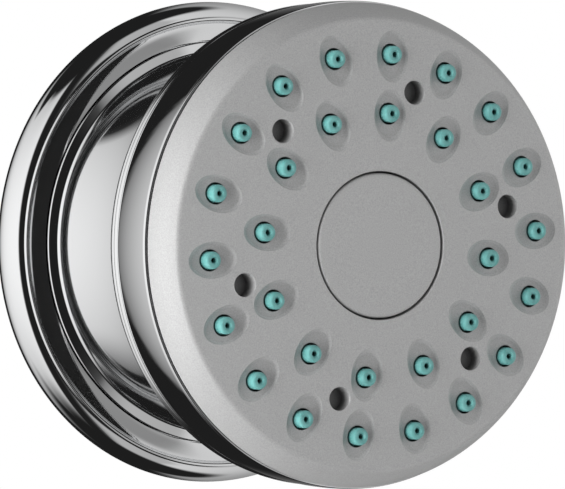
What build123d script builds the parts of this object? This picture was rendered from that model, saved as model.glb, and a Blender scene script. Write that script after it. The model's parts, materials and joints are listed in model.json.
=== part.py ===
"""Shower body jet: a wall flange and barrel sleeve around a ball joint that carries a spray head.

Millimetres. The wall is the plane Y = 0, Z points up, and the jet sprays along -Y.
The origin is the middle of the water inlet, in the plane of the wall.
A name that ends in _at is a distance from the wall along the axis.
"""
import os
from math import acos, cos, degrees, radians, sin, sqrt, tan

from build123d import *

os.makedirs("parts", exist_ok=True)

# Spray face
projection = 54.05
face_radius = 37.3
face_dome_radius = 265.0
shoulder_width = 2.45
shoulder_depth = 4.75
shoulder_crown_height = 0.36
plate_thickness = 4.0
plate_wall = 1.6

# Nozzles and dimples
outer_ring_inset = 7.9
outer_count = 18
ring_spacing = 9.1
inner_count = 12
nozzle_phase = 83.5
nozzle_radius = 1.35
nozzle_gap = 0.3
nozzle_rise = 0.95
nose_radius = 0.75
orifice_radius = 0.4
orifice_depth = 1.0
orifice_dish = 0.15
feed_radius = 0.85
dimple_depth = 0.8
dimple_half_length = 3.5
dimple_half_width = 2.8
dimple_margin = 0.6

# Blind recesses between the two nozzle rings
recess_inset = 5.0
recess_count = 6
recess_phase = 73.4
recess_radius = 1.8
recess_depth = 2.2

# Middle of the face
cap_radius = 11.1
cap_gap = 0.3
cap_thickness = 1.4
cap_edge = 0.4
cap_skirt = 1.4
cap_depth = 4.2
well_depth = 5.1
well_wall = 1.6
well_floor = 1.7
screw_radius = 2.0
screw_clearance = 0.1
screw_head_radius = 3.6
screw_head_height = 2.2
screw_head_side = 1.1
screw_slot_width = 1.0
screw_slot_depth = 0.9
seal_thickness = 0.8
seal_margin = 0.2

# Nozzle mat and diffuser
mat_thickness = 1.4
mat_margin = 0.4
mat_clearance = 0.6
diffuser_clearance = 0.2
diffuser_hole_radius = 1.1

# Head shell
rim_step = 0.25
face_seam = 0.4
side_taper = 5.7
side_crown_height = 0.4
back_edge_radius = 3.0
head_depth = 21.45
shell_wall = 1.6
rim_ledge = 1.2
rim_depth = 2.2
o_ring_groove_wall = 0.7
chamber_ring_section = 1.5
ring_side_clearance = 0.1
boss_radius = 5.0
boss_clearance = 1.2
rib_count = 4
rib_thickness = 2.0

# Ball joint
ball_setback = 5.6
ball_radius = 11.0
neck_radius = 7.0
neck_length = 4.9
waterway_radius = 4.4
joint_clearance = 0.25
ring_thickness = 1.5
wear_ring_start_angle = 99.0
wear_ring_end_angle = 120.0
seat_start_angle = 48.0
seat_end_angle = 85.0
hub_wall = 2.0
hub_overlap = 1.5
hub_roof = 3.0
seal_section = 2.4
seal_mean_radius = 6.7
nut_wall = 2.1
nut_lip_angle = 122.0
nut_lip_depth = 1.3
nut_reach = 3.0
nut_chamfer = 0.8
thread_clearance = 0.1
nut_notch_count = 6
nut_notch_width = 3.0
nut_notch_depth = 1.2

# Dome that closes the sleeve's mouth while the head tilts
dome_wall = 1.6
dome_end_angle = 114.0

# Inlet
inlet_bore_radius = 9.2
inlet_relief = 0.4
inlet_wall = 3.2
inlet_floor = 1.6
hexagon_across_flats = 25.0
collar_radius = 18.5
collar_thickness = 1.8
washer_thickness = 1.0
washer_clearance = 0.3
inlet_washer_thickness = 1.8
inlet_washer_bore = 5.6
inlet_washer_clearance = 0.1
screen_thickness = 0.5
screen_hole_radius = 0.6
screen_spacing = 2.0
screen_ring_count = 2
regulator_length = 2.6
regulator_depth = 0.6
regulator_hole_radius = 1.0
regulator_clearance = 0.1

# Wall flange
flange_radius = 37.75
flange_edge_radius = 3.34
flange_foot_inset = 1.55
ridge_inset = 2.35
ridge_step = 0.15
cove_radius = 11.1
cove_width = 3.6
gasket_thickness = 1.5
gasket_width = 5.6
gasket_clearance = 0.2
flange_foot_width = 1.2
web_thickness = 2.1
spigot_height = 6.4
spigot_wall = 2.1
joint_gap = 0.2
sleeve_seat_at = 4.6

# Sleeve
sleeve_flare = 2.2
sleeve_belly_step = -1.36
sleeve_mouth_step = -2.0
sleeve_wall = 1.3
sleeve_to_head = 8.7
sleeve_cove_height = 3.0
sleeve_lip_edge = 0.7
sleeve_lip_length = 1.4
sleeve_lip_width = 2.23
mouth_gap = 0.5
sleeve_ring_section = 1.8
sleeve_ring_at = 7.6

# Values that follow from the dimensions above
rim_radius = face_radius + rim_step
shoulder_radius = face_radius - shoulder_width
plate_back_at = projection - plate_thickness
mat_back_at = plate_back_at - mat_thickness
back_at = projection - head_depth
ball_at = back_at - ball_setback
outer_ring_radius = face_radius - outer_ring_inset
inner_ring_radius = outer_ring_radius - ring_spacing
recess_ring_radius = outer_ring_radius - recess_inset
cap_bore_radius = cap_radius + cap_gap
well_radius = cap_bore_radius + well_wall
nozzle_hole_radius = nozzle_radius + nozzle_gap
nozzle_rings = ((outer_ring_radius, outer_count), (inner_ring_radius, inner_count))
ring_inner_radius = ball_radius + joint_clearance
ring_outer_radius = ring_inner_radius + ring_thickness
socket_radius = ring_outer_radius + joint_clearance
hub_radius = socket_radius + hub_wall
seal_pocket_radius = seal_mean_radius + seal_section / 2 + 2 * ring_side_clearance
seal_distance = ball_radius + seal_section / 2 + joint_clearance
seal_at = ball_at + sqrt(seal_distance**2 - seal_mean_radius**2)
seal_pocket_at = seal_at + seal_section / 2
roof_at = seal_pocket_at + hub_roof - hub_wall
web_front_at = gasket_thickness + web_thickness
collar_back_at = web_front_at + washer_thickness
collar_front_at = collar_back_at + collar_thickness
inlet_relief_radius = inlet_bore_radius + inlet_relief
inlet_radius = inlet_bore_radius + inlet_wall
neck_shoulder_at = ball_at - sqrt(ball_radius**2 - neck_radius**2) - neck_length
inlet_bore_depth = neck_shoulder_at - inlet_floor
inlet_thread_length = inlet_bore_depth - inlet_washer_thickness
flange_foot_radius = flange_radius - flange_foot_inset
gasket_outer_radius = flange_foot_radius - flange_foot_width - gasket_clearance
gasket_inner_radius = gasket_outer_radius - gasket_width
ridge_radius = flange_radius - ridge_inset
joint_radius = ridge_radius - cove_width
sleeve_foot_radius = joint_radius - joint_gap
sleeve_base_radius = sleeve_foot_radius - sleeve_flare
sleeve_belly_radius = sleeve_base_radius + sleeve_belly_step
sleeve_mouth_radius = sleeve_base_radius + sleeve_mouth_step
sleeve_bore_radius = sleeve_base_radius - sleeve_wall
sleeve_mouth_at = back_at - sleeve_to_head
mouth_bore_radius = sleeve_mouth_radius - sleeve_lip_width
dome_radius = sqrt((mouth_bore_radius - mouth_gap) ** 2 + (ball_at - sleeve_mouth_at) ** 2)


def dome_at(radius):
    """Distance from the wall of the domed face at a radius."""
    return projection - face_dome_radius + sqrt(face_dome_radius**2 - radius**2)


def point(radius, distance):
    """Profile point in the plane that is turned about the axis."""
    return (radius, -distance)


def ball_point(radius, angle):
    """Profile point on a sphere about the ball's centre, at an angle from the spray direction."""
    return point(radius * sin(radians(angle)), ball_at + radius * cos(radians(angle)))


def ball_arc(radius, start, end):
    """Profile arc on a sphere about the ball's centre."""
    middle = (start + end) / 2
    return ThreePointArc(ball_point(radius, start), ball_point(radius, middle), ball_point(radius, end))


def ball_angle(radius, distance):
    """Angle from the spray direction at which a sphere about the ball's centre reaches a distance."""
    return degrees(acos((distance - ball_at) / radius))


shoulder_at_dome = dome_at(shoulder_radius)
rim_at = shoulder_at_dome - shoulder_depth - face_seam
face_edge_at = rim_at + face_seam
well_floor_at = dome_at(cap_bore_radius) - well_depth
boss_top_at = well_floor_at - well_floor

# Scoop that cuts one dimple: curved along the radius by one bend and across it by a smaller one
scoop_bend = dimple_half_length**2 / (2 * dimple_depth) + dimple_depth / 2
scoop_cross_bend = dimple_half_width**2 / (2 * dimple_depth) + dimple_depth / 2
scoop_half_width = dimple_half_width + dimple_margin
scoop_edge = scoop_bend - scoop_cross_bend + sqrt(scoop_cross_bend**2 - scoop_half_width**2)
with BuildPart() as scoop:
    with BuildSketch():
        with BuildLine():
            ThreePointArc((scoop_edge, -scoop_half_width), (scoop_bend, 0), (scoop_edge, scoop_half_width))
            Polyline(
                (scoop_edge, scoop_half_width),
                (0, scoop_half_width),
                (0, -scoop_half_width),
                (scoop_edge, -scoop_half_width),
            )
        make_face()
    revolve(axis=Axis.Y)

# Face plate: domed disc with a sloping shoulder, a well for the cap, dimples, nozzle holes and recesses
shoulder_slope = Vector(shoulder_width, shoulder_depth).normalized()
shoulder_middle = Vector(face_radius - shoulder_width / 2, face_edge_at + shoulder_depth / 2)
shoulder_crown = shoulder_middle + Vector(shoulder_slope.Y, shoulder_slope.X) * shoulder_crown_height


def skirt_radius(distance):
    """Inner radius of the face plate's skirt at a distance from the wall."""
    lean = (distance - face_edge_at) * shoulder_width / shoulder_depth
    return face_radius - plate_wall / shoulder_slope.Y - lean


with BuildPart() as face_plate:
    with BuildSketch():
        with BuildLine():
            dome_middle_radius = (cap_bore_radius + shoulder_radius) / 2
            ThreePointArc(
                point(cap_bore_radius, dome_at(cap_bore_radius)),
                point(dome_middle_radius, dome_at(dome_middle_radius)),
                point(shoulder_radius, shoulder_at_dome),
            )
            ThreePointArc(
                point(shoulder_radius, shoulder_at_dome),
                point(shoulder_crown.X, shoulder_crown.Y),
                point(face_radius, face_edge_at),
            )
            Polyline(
                point(face_radius, face_edge_at),
                point(skirt_radius(face_edge_at), face_edge_at),
                point(skirt_radius(plate_back_at), plate_back_at),
                point(well_radius, plate_back_at),
                point(well_radius, boss_top_at),
                point(screw_radius + screw_clearance, boss_top_at),
                point(screw_radius + screw_clearance, well_floor_at),
                point(cap_bore_radius, well_floor_at),
                point(cap_bore_radius, dome_at(cap_bore_radius)),
            )
        make_face()
    revolve(axis=Axis.Y)
    for ring_radius, count in nozzle_rings:
        with Locations(Plane.XZ.offset(dome_at(ring_radius) + scoop_bend - dimple_depth)):
            with PolarLocations(ring_radius, count, nozzle_phase):
                add(scoop.part, mode=Mode.SUBTRACT)
        with BuildSketch(Plane.XZ.offset(plate_back_at)):
            with PolarLocations(ring_radius, count, nozzle_phase):
                Circle(nozzle_hole_radius)
        extrude(amount=plate_thickness, mode=Mode.SUBTRACT)
    with BuildSketch(Plane.XZ.offset(dome_at(recess_ring_radius) - recess_depth)):
        with PolarLocations(recess_ring_radius, recess_count, recess_phase):
            Circle(recess_radius)
    extrude(amount=plate_thickness, mode=Mode.SUBTRACT)
face_plate.part.label = "face_plate"
export_step(face_plate.part, "parts/face_plate.step")


def nozzle_section(height):
    """Half section of one bored nozzle with a rounded nose and a dished orifice."""
    with BuildLine(Plane.XZ) as outline:
        nose = TangentArc(
            (nozzle_radius, height - nose_radius),
            (nozzle_radius - nose_radius, height),
            tangent=(0, 1),
        )
        Polyline(
            nose @ 1,
            (orifice_radius + orifice_dish, height),
            (orifice_radius, height - orifice_dish),
            (orifice_radius, height - orifice_depth),
            (feed_radius, height - orifice_depth),
            (feed_radius, 0),
            (nozzle_radius, 0),
            nose @ 0,
        )
    return outline.line


# Nozzle mat: one silicone sheet behind the face plate with every nozzle moulded on it
with BuildPart() as nozzle_mat:
    with BuildSketch(Plane.XZ.offset(mat_back_at)):
        Circle(skirt_radius(plate_back_at) - mat_clearance)
        Circle(well_radius + mat_margin, mode=Mode.SUBTRACT)
        for ring_radius, count in nozzle_rings:
            with PolarLocations(ring_radius, count, nozzle_phase):
                Circle(feed_radius, mode=Mode.SUBTRACT)
    extrude(amount=mat_thickness)
    for ring_radius, count in nozzle_rings:
        with BuildPart(mode=Mode.PRIVATE) as nozzle:
            with BuildSketch(Plane.XZ):
                with BuildLine(Plane.XZ):
                    add(nozzle_section(dome_at(ring_radius) + nozzle_rise - plate_back_at))
                make_face()
            revolve(axis=Axis.Z)
        with Locations(Plane.XZ.offset(plate_back_at)):
            with PolarLocations(ring_radius, count, nozzle_phase):
                add(nozzle.part)
nozzle_mat.part.label = "nozzle_mat"
export_step(nozzle_mat.part, "parts/nozzle_mat.step")

# Diffuser plate: stiff disc that backs the mat, with one feed hole for each nozzle
diffuser_radius = skirt_radius(mat_back_at) - diffuser_clearance
with BuildPart() as diffuser_plate:
    with BuildSketch(Plane.XZ.offset(rim_at)):
        Circle(diffuser_radius)
        Circle(well_radius + mat_margin, mode=Mode.SUBTRACT)
        for ring_radius, count in nozzle_rings:
            with PolarLocations(ring_radius, count, nozzle_phase):
                Circle(diffuser_hole_radius, mode=Mode.SUBTRACT)
    extrude(amount=mat_back_at - rim_at)
diffuser_plate.part.label = "diffuser_plate"
export_step(diffuser_plate.part, "parts/diffuser_plate.step")

# Centre cap: shallow cup that follows the dome and snaps into the well
cap_rim_at = dome_at(cap_radius) - cap_edge
with BuildPart() as centre_cap:
    with BuildSketch():
        with BuildLine():
            crown_radius = cap_radius - cap_edge
            ThreePointArc(
                point(0, projection),
                point(crown_radius / 2, dome_at(crown_radius / 2)),
                point(crown_radius, dome_at(crown_radius)),
            )
            Polyline(
                point(crown_radius, dome_at(crown_radius)),
                point(cap_radius - cap_edge / 3, dome_at(crown_radius) - cap_edge / 3),
                point(cap_radius, cap_rim_at),
                point(cap_radius, projection - cap_depth),
                point(cap_radius - cap_skirt, projection - cap_depth),
                point(cap_radius - cap_skirt, projection - cap_thickness),
                point(0, projection - cap_thickness),
                point(0, projection),
            )
        make_face()
    revolve(axis=Axis.Y)
centre_cap.part.label = "centre_cap"
export_step(centre_cap.part, "parts/centre_cap.step")

# Centre screw: slotted screw that draws the face plate onto the head's boss
screw_head_at = well_floor_at + seal_thickness
screw_end_at = roof_at + boss_clearance
with BuildPart() as centre_screw:
    with BuildSketch():
        with BuildLine():
            TangentArc(
                point(0, screw_head_at + screw_head_height),
                point(screw_head_radius, screw_head_at + screw_head_side),
                tangent=(1, 0),
            )
            Polyline(
                point(screw_head_radius, screw_head_at + screw_head_side),
                point(screw_head_radius, screw_head_at),
                point(screw_radius, screw_head_at),
                point(screw_radius, screw_end_at),
                point(0, screw_end_at),
                point(0, screw_head_at + screw_head_height),
            )
        make_face()
    revolve(axis=Axis.Y)
    with BuildSketch(Plane.XZ.offset(screw_head_at + screw_head_height)):
        Rectangle(2 * screw_head_radius, screw_slot_width)
    extrude(amount=-screw_slot_depth, mode=Mode.SUBTRACT)
centre_screw.part.label = "centre_screw"
export_step(centre_screw.part, "parts/centre_screw.step")

# Screw seal: rubber washer under the screw's head
with BuildPart() as screw_seal:
    with BuildSketch(Plane.XZ.offset(well_floor_at)):
        Circle(screw_head_radius + seal_margin)
        Circle(screw_radius + screw_clearance, mode=Mode.SUBTRACT)
    extrude(amount=seal_thickness)
screw_seal.part.label = "screw_seal"
export_step(screw_seal.part, "parts/screw_seal.step")

# Head shell: turned outline with the rim, side, back, dome and hub in one piece
rim_inner_radius = diffuser_radius - rim_ledge
groove_outer_radius = rim_radius - o_ring_groove_wall
groove_width = chamber_ring_section + 2 * ring_side_clearance
groove_bottom_at = face_edge_at - chamber_ring_section
side_back_radius = rim_radius - (rim_at - back_at) * tan(radians(side_taper))
side_slope = Vector(rim_radius - side_back_radius, rim_at - back_at).normalized()
side_middle = Vector((rim_radius + side_back_radius) / 2, (rim_at + back_at) / 2)
side_crown = side_middle + Vector(side_slope.Y, -side_slope.X) * side_crown_height
cavity_radius = side_back_radius - shell_wall
inner_back_at = back_at + shell_wall
hub_end_at = ball_at - hub_overlap
pocket_angle = degrees(acos(sqrt(1 - (seal_pocket_radius / socket_radius) ** 2)))
with BuildPart() as head_shell:
    with BuildSketch() as shell_profile:
        with BuildLine():
            Line(ball_point(dome_radius, ball_angle(dome_radius, back_at)), point(side_back_radius, back_at))
            ThreePointArc(
                point(side_back_radius, back_at),
                point(side_crown.X, side_crown.Y),
                point(rim_radius, rim_at),
            )
            Polyline(
                point(rim_radius, rim_at),
                point(groove_outer_radius, rim_at),
                point(groove_outer_radius, groove_bottom_at),
                point(groove_outer_radius - groove_width, groove_bottom_at),
                point(groove_outer_radius - groove_width, rim_at),
                point(rim_inner_radius, rim_at),
                point(rim_inner_radius, rim_at - rim_depth),
                point(cavity_radius, rim_at - rim_depth - (cavity_radius - rim_inner_radius)),
                point(cavity_radius, inner_back_at),
                point(hub_radius, inner_back_at),
                point(hub_radius, roof_at),
                point(waterway_radius, roof_at),
                point(waterway_radius, seal_pocket_at),
                point(seal_pocket_radius, seal_pocket_at),
                ball_point(socket_radius, pocket_angle),
            )
            ball_arc(socket_radius, pocket_angle, 90)
            Polyline(
                ball_point(socket_radius, 90),
                point(socket_radius, hub_end_at),
                point(hub_radius, hub_end_at),
                point(hub_radius, back_at),
                ball_point(dome_radius - dome_wall, ball_angle(dome_radius - dome_wall, back_at)),
            )
            ball_arc(dome_radius - dome_wall, ball_angle(dome_radius - dome_wall, back_at), dome_end_angle)
            Line(ball_point(dome_radius - dome_wall, dome_end_angle), ball_point(dome_radius, dome_end_angle))
            ball_arc(dome_radius, dome_end_angle, ball_angle(dome_radius, back_at))
        make_face()
        back_corner = shell_profile.vertices().sort_by_distance(point(side_back_radius, back_at))[0]
        fillet(back_corner, back_edge_radius)
    revolve(axis=Axis.Y)
    with BuildSketch(Plane.XZ.offset(roof_at)):
        with PolarLocations(0, rib_count, 45):
            Rectangle(well_radius, rib_thickness, align=(Align.MIN, Align.CENTER))
        Circle(waterway_radius, mode=Mode.SUBTRACT)
    extrude(amount=boss_top_at - roof_at)
    with BuildSketch(Plane.XZ.offset(boss_top_at)):
        Circle(boss_radius)
        Circle(screw_radius + screw_clearance, mode=Mode.SUBTRACT)
    extrude(amount=screw_end_at - boss_top_at)
head_shell.part.label = "head_shell"
export_step(head_shell.part, "parts/head_shell.step")

# Chamber O-ring: in the rim's groove, under the face plate's edge
chamber_ring_radius = groove_outer_radius - groove_width / 2
with BuildPart() as chamber_o_ring:
    with BuildSketch():
        with Locations(point(chamber_ring_radius, groove_bottom_at + chamber_ring_section / 2)):
            Circle(chamber_ring_section / 2)
    revolve(axis=Axis.Y)
chamber_o_ring.part.label = "chamber_o_ring"
export_step(chamber_o_ring.part, "parts/chamber_o_ring.step")

# Ball seal: O-ring in the hub's pocket that runs on the front of the ball
with BuildPart() as ball_seal:
    with BuildSketch():
        with Locations(point(seal_mean_radius, seal_at)):
            Circle(seal_section / 2)
    revolve(axis=Axis.Y)
ball_seal.part.label = "ball_seal"
export_step(ball_seal.part, "parts/ball_seal.step")


def ball_zone_profile(start, end):
    """Section of a ring that fits around the ball between two angles from the spray direction."""
    with BuildLine() as outline:
        ball_arc(ring_inner_radius, start, end)
        Line(ball_point(ring_inner_radius, end), ball_point(ring_outer_radius, end))
        ball_arc(ring_outer_radius, end, start)
        Line(ball_point(ring_outer_radius, start), ball_point(ring_inner_radius, start))
    return outline.line


# Ball seat: plastic ring in front of the ball's widest circle
with BuildPart() as ball_seat:
    with BuildSketch():
        with BuildLine():
            add(ball_zone_profile(seat_start_angle, seat_end_angle))
        make_face()
    revolve(axis=Axis.Y)
ball_seat.part.label = "ball_seat"
export_step(ball_seat.part, "parts/ball_seat.step")

# Wear ring: plastic ring behind the ball's widest circle
with BuildPart() as wear_ring:
    with BuildSketch():
        with BuildLine():
            add(ball_zone_profile(wear_ring_start_angle, wear_ring_end_angle))
        make_face()
    revolve(axis=Axis.Y)
wear_ring.part.label = "wear_ring"
export_step(wear_ring.part, "parts/wear_ring.step")

# Swivel nut: screws onto the hub and traps the ball behind its widest circle
nut_bore_radius = hub_radius + thread_clearance
nut_radius = nut_bore_radius + nut_wall
nut_front_at = ball_at + nut_reach
nut_step_at = hub_end_at - thread_clearance
nut_step_angle = ball_angle(socket_radius, nut_step_at)
nut_lip_at = ball_at + socket_radius * cos(radians(nut_lip_angle))
nut_back_at = nut_lip_at - nut_lip_depth
nut_back_reach = (ball_at - nut_back_at) / -cos(radians(nut_lip_angle))
with BuildPart() as swivel_nut:
    with BuildSketch():
        with BuildLine():
            ball_arc(socket_radius, nut_step_angle, nut_lip_angle)
            Polyline(
                ball_point(socket_radius, nut_lip_angle),
                ball_point(nut_back_reach, nut_lip_angle),
                point(nut_radius - nut_chamfer, nut_back_at),
                point(nut_radius, nut_back_at + nut_chamfer),
                point(nut_radius, nut_front_at - nut_chamfer),
                point(nut_radius - nut_chamfer, nut_front_at),
                point(nut_bore_radius, nut_front_at),
                point(nut_bore_radius, nut_step_at),
                ball_point(socket_radius, nut_step_angle),
            )
        make_face()
    revolve(axis=Axis.Y)
    with BuildSketch(Plane.XZ.offset(nut_back_at)):
        with PolarLocations(nut_radius, nut_notch_count):
            Rectangle(2 * nut_notch_depth, nut_notch_width)
    extrude(amount=nut_front_at - nut_back_at, mode=Mode.SUBTRACT)
swivel_nut.part.label = "swivel_nut"
export_step(swivel_nut.part, "parts/swivel_nut.step")

# Ball nipple: threaded inlet, collar, hexagon, neck and bored ball in one turned piece
neck_meets_ball = 180 - degrees(acos(sqrt(1 - (neck_radius / ball_radius) ** 2)))
mouth_angle = degrees(acos(sqrt(1 - (waterway_radius / ball_radius) ** 2)))
with BuildPart() as ball_nipple:
    with BuildSketch():
        with BuildLine():
            ball_arc(ball_radius, mouth_angle, neck_meets_ball)
            Polyline(
                ball_point(ball_radius, neck_meets_ball),
                point(neck_radius, neck_shoulder_at),
                point(inlet_radius, neck_shoulder_at),
                point(inlet_radius, collar_front_at),
                point(collar_radius, collar_front_at),
                point(collar_radius, collar_back_at),
                point(inlet_radius, collar_back_at),
                point(inlet_radius, 0),
                point(inlet_bore_radius, 0),
                point(inlet_bore_radius, inlet_thread_length),
                point(inlet_relief_radius, inlet_thread_length),
                point(inlet_relief_radius, inlet_bore_depth),
                point(waterway_radius, inlet_bore_depth),
                ball_point(ball_radius, mouth_angle),
            )
        make_face()
    revolve(axis=Axis.Y)
    with BuildSketch(Plane.XZ.offset(collar_front_at)):
        RegularPolygon(hexagon_across_flats / 2, 6, major_radius=False)
        Circle(inlet_radius - inlet_wall / 2, mode=Mode.SUBTRACT)
    extrude(amount=neck_shoulder_at - collar_front_at)
ball_nipple.part.label = "ball_nipple"
export_step(ball_nipple.part, "parts/ball_nipple.step")

# Inlet washer: rubber ring at the bottom of the inlet
with BuildPart() as inlet_washer:
    with BuildSketch(Plane.XZ.offset(inlet_bore_depth)):
        Circle(inlet_relief_radius - inlet_washer_clearance)
        Circle(inlet_washer_bore, mode=Mode.SUBTRACT)
    extrude(amount=-inlet_washer_thickness)
inlet_washer.part.label = "inlet_washer"
export_step(inlet_washer.part, "parts/inlet_washer.step")

# Inlet screen: perforated strainer disc inside the washer
with BuildPart() as inlet_screen:
    with BuildSketch(Plane.XZ.offset(inlet_bore_depth)):
        Circle(inlet_washer_bore)
        Circle(screen_hole_radius, mode=Mode.SUBTRACT)
        for ring in range(1, screen_ring_count + 1):
            with PolarLocations(ring * screen_spacing, 6 * ring):
                Circle(screen_hole_radius, mode=Mode.SUBTRACT)
    extrude(amount=-screen_thickness)
inlet_screen.part.label = "inlet_screen"
export_step(inlet_screen.part, "parts/inlet_screen.step")

# Flow regulator: plug in the ball's mouth with one metering hole
regulator_front_at = ball_at + ball_radius * cos(radians(mouth_angle)) - regulator_depth
with BuildPart() as flow_regulator:
    with BuildSketch(Plane.XZ.offset(regulator_front_at)):
        Circle(waterway_radius - regulator_clearance)
        Circle(regulator_hole_radius, mode=Mode.SUBTRACT)
    extrude(amount=-regulator_length)
flow_regulator.part.label = "flow_regulator"
export_step(flow_regulator.part, "parts/flow_regulator.step")

# Clamp washer: between the nipple's collar and the flange's web
with BuildPart() as clamp_washer:
    with BuildSketch(Plane.XZ.offset(web_front_at)):
        Circle(collar_radius)
        Circle(inlet_radius + washer_clearance, mode=Mode.SUBTRACT)
    extrude(amount=washer_thickness)
clamp_washer.part.label = "clamp_washer"
export_step(clamp_washer.part, "parts/clamp_washer.step")

# Wall flange: bullnose rim, coved face, web for the clamp and spigot for the sleeve
spigot_radius = sleeve_bore_radius - 3 * joint_gap
spigot_front_at = web_front_at + spigot_height
sleeve_groove_radius = sleeve_bore_radius - sleeve_ring_section
sleeve_groove_half = sleeve_ring_section / 2 + ring_side_clearance
edge_centre_radius = flange_radius - flange_edge_radius
edge_centre_at = sqrt(flange_edge_radius**2 - (flange_foot_radius - edge_centre_radius) ** 2)
ridge_at = edge_centre_at + sqrt(flange_edge_radius**2 - (ridge_radius - edge_centre_radius) ** 2)
cove_start_at = ridge_at - ridge_step


def cove_at(radius):
    """Distance from the wall of the flange's coved face at a radius."""
    return cove_start_at + cove_radius - sqrt(cove_radius**2 - (ridge_radius - ridge_step - radius) ** 2)


with BuildPart() as wall_flange:
    with BuildSketch():
        with BuildLine():
            ThreePointArc(
                point(flange_foot_radius, 0),
                point(flange_radius, edge_centre_at),
                point(ridge_radius, ridge_at),
            )
            Line(point(ridge_radius, ridge_at), point(ridge_radius - ridge_step, cove_start_at))
            cove_middle_radius = (ridge_radius - ridge_step + joint_radius) / 2
            ThreePointArc(
                point(ridge_radius - ridge_step, cove_start_at),
                point(cove_middle_radius, cove_at(cove_middle_radius)),
                point(joint_radius, cove_at(joint_radius)),
            )
            Polyline(
                point(joint_radius, cove_at(joint_radius)),
                point(joint_radius, sleeve_seat_at),
                point(spigot_radius, sleeve_seat_at),
                point(spigot_radius, sleeve_ring_at - sleeve_groove_half),
                point(sleeve_groove_radius, sleeve_ring_at - sleeve_groove_half),
                point(sleeve_groove_radius, sleeve_ring_at + sleeve_groove_half),
                point(spigot_radius, sleeve_ring_at + sleeve_groove_half),
                point(spigot_radius, spigot_front_at),
                point(spigot_radius - spigot_wall, spigot_front_at),
                point(spigot_radius - spigot_wall, web_front_at),
                point(inlet_radius + washer_clearance, web_front_at),
                point(inlet_radius + washer_clearance, gasket_thickness),
                point(gasket_outer_radius + gasket_clearance, gasket_thickness),
                point(gasket_outer_radius + gasket_clearance, 0),
                point(flange_foot_radius, 0),
            )
        make_face()
    revolve(axis=Axis.Y)
wall_flange.part.label = "wall_flange"
export_step(wall_flange.part, "parts/wall_flange.step")

# Flange gasket: foam ring between the flange and the wall
with BuildPart() as flange_gasket:
    with BuildSketch(Plane.XZ):
        Circle(gasket_outer_radius)
        Circle(gasket_inner_radius, mode=Mode.SUBTRACT)
    extrude(amount=gasket_thickness)
flange_gasket.part.label = "flange_gasket"
export_step(flange_gasket.part, "parts/flange_gasket.step")

# Sleeve O-ring: grips the sleeve on the flange's spigot
with BuildPart() as sleeve_o_ring:
    with BuildSketch():
        with Locations(point(sleeve_groove_radius + sleeve_ring_section / 2, sleeve_ring_at)):
            Circle(sleeve_ring_section / 2)
    revolve(axis=Axis.Y)
sleeve_o_ring.part.label = "sleeve_o_ring"
export_step(sleeve_o_ring.part, "parts/sleeve_o_ring.step")

# Sleeve: barrel with a coved foot at the flange and a turned-in mouth around the head's dome
foot_at = cove_at(joint_radius)
base_at = foot_at + sleeve_cove_height
with BuildPart() as sleeve:
    with BuildSketch() as sleeve_profile:
        with BuildLine():
            barrel = ThreePointArc(
                point(sleeve_base_radius, base_at),
                point(sleeve_belly_radius, (base_at + sleeve_mouth_at) / 2),
                point(sleeve_mouth_radius, sleeve_mouth_at),
            )
            TangentArc(barrel @ 0, point(sleeve_foot_radius, foot_at), tangent=-(barrel % 0))
            Polyline(
                barrel @ 1,
                point(mouth_bore_radius, sleeve_mouth_at),
                point(mouth_bore_radius, sleeve_ring_at + 3 * sleeve_lip_length),
                point(sleeve_bore_radius, sleeve_ring_at + 2 * sleeve_lip_length),
                point(sleeve_bore_radius, sleeve_seat_at),
                point(sleeve_foot_radius, sleeve_seat_at),
                point(sleeve_foot_radius, foot_at),
            )
        make_face()
        mouth_corner = sleeve_profile.vertices().sort_by_distance(barrel @ 1)[0]
        fillet(mouth_corner, sleeve_lip_edge)
    revolve(axis=Axis.Y)
sleeve.part.label = "sleeve"
export_step(sleeve.part, "parts/sleeve.step")
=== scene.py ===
"""Looks of the shower body jet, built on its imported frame.

Lengths are in millimetres and become metres when a mesh is made.
A profile point is (radius, distance), where distance is measured from the wall along the spray direction, -Y.
"""

import json
from math import acos, asin, atan2, cos, degrees, exp, hypot, pi, radians, sin, sqrt, tan

import bmesh
import bpy
from mathutils import Matrix, Vector
from mathutils.geometry import delaunay_2d_cdt


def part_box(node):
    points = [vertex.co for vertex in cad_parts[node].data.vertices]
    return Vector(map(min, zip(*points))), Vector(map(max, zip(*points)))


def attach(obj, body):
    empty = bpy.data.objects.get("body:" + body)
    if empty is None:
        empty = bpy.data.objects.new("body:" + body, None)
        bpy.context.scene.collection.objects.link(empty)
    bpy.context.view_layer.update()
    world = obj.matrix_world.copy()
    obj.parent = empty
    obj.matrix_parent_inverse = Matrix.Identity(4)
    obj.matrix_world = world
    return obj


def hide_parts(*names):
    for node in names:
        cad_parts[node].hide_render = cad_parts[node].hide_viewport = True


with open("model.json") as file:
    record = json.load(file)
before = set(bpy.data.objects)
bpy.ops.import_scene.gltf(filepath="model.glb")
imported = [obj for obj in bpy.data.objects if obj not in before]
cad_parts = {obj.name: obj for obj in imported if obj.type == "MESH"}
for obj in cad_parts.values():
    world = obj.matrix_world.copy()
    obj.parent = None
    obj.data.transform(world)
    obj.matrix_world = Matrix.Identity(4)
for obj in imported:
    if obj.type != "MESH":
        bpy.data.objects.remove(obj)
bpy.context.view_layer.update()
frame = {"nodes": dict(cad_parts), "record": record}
MM = 0.001


def radius_of(node):
    """Largest radius of a turned CAD node."""
    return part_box(node)[1].x / MM


def front_of(node):
    """Distance from the wall of the front of a CAD node."""
    return -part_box(node)[0].y / MM


def back_of(node):
    """Distance from the wall of the back of a CAD node."""
    return -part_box(node)[1].y / MM


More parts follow.
